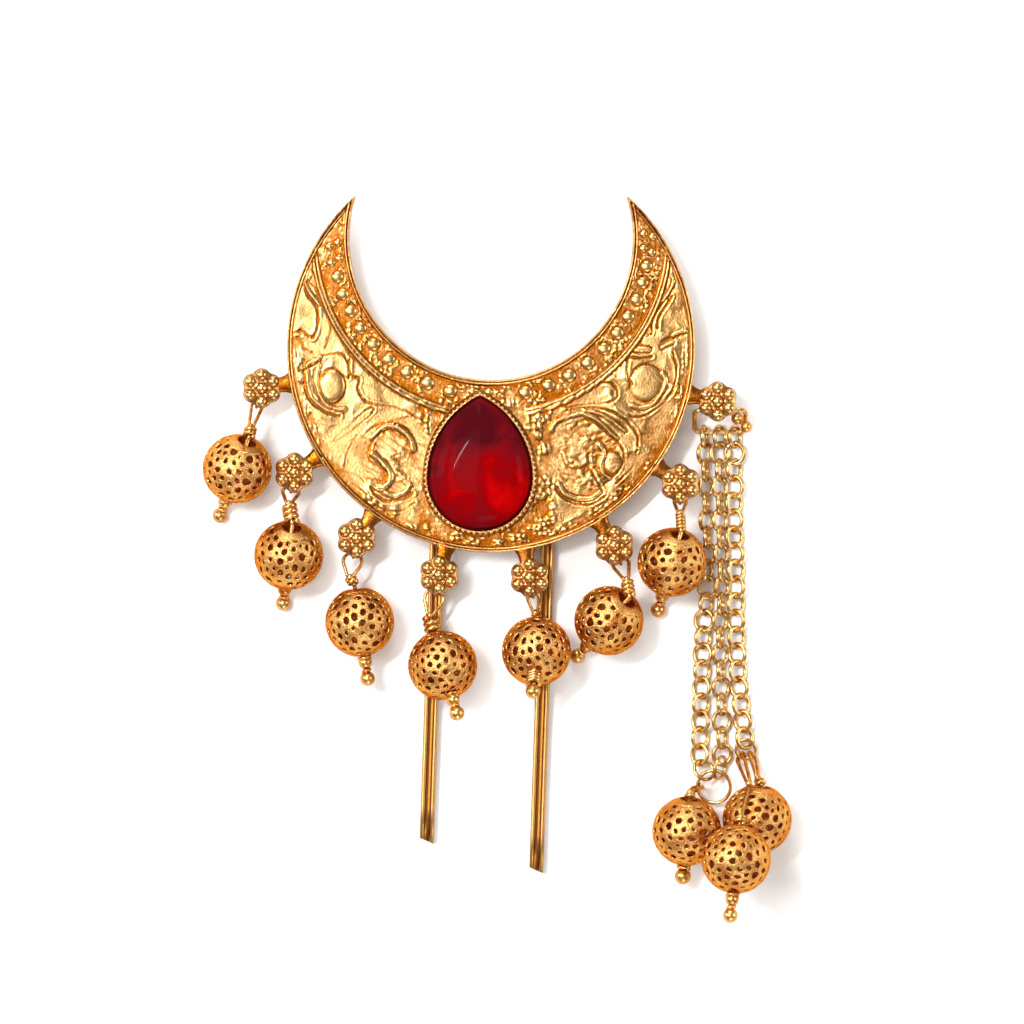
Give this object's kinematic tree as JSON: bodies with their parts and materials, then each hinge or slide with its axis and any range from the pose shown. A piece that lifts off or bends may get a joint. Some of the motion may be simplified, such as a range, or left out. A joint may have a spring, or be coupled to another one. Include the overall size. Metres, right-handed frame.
{
  "type": "hair bun brooch",
  "caption": "Crescent hair bun brooch with a pear-shaped red stone, pierced ball drops on wire loops, chains at one side and a hair fork behind.",
  "frame": {"origin": "on the surface the brooch lies on, below the centre of the crescent's outer circle", "axes": "+Z out of the brooch's face, +Y towards the crescent's two tips, +X to the side of the chains"},
  "size_m": [0.0831, 0.1022, 0.0177],
  "materials": {
    "plate_gold": "polished yellow gold with satin recesses",
    "fork_gold": "worn brownish gold",
    "ball_gold": "pierced reddish gold",
    "wire_gold": "drawn reddish gold wire",
    "chain_gold": "pale gold wire",
    "red_glass": "polished deep red cabochon"
  },
  "bodies": {
    "root": {"crescent": "plate_gold", "red_stone": "red_glass", "hair_fork": "fork_gold", "ball_1": "ball_gold", "ball_2": "ball_gold", "ball_3": "ball_gold", "ball_4": "ball_gold", "ball_5": "ball_gold", "ball_6": "ball_gold", "ball_7": "ball_gold", "ball_pin_1": "wire_gold", "ball_pin_2": "wire_gold", "ball_pin_3": "wire_gold", "ball_pin_4": "wire_gold", "ball_pin_5": "wire_gold", "ball_pin_6": "wire_gold", "ball_pin_7": "wire_gold", "chain_left": "chain_gold", "chain_middle": "chain_gold", "chain_right": "chain_gold", "chain_ring": "chain_gold", "short_pin": "wire_gold", "end_ring_left": "chain_gold", "end_ring_middle": "chain_gold", "end_ring_shared": "chain_gold", "end_ring_right": "chain_gold", "chain_ball_left": "ball_gold", "chain_ball_front": "ball_gold", "chain_ball_right": "ball_gold", "chain_pin_left": "wire_gold", "chain_pin_front": "wire_gold", "chain_pin_right": "wire_gold"}
  },
  "joints": []
}
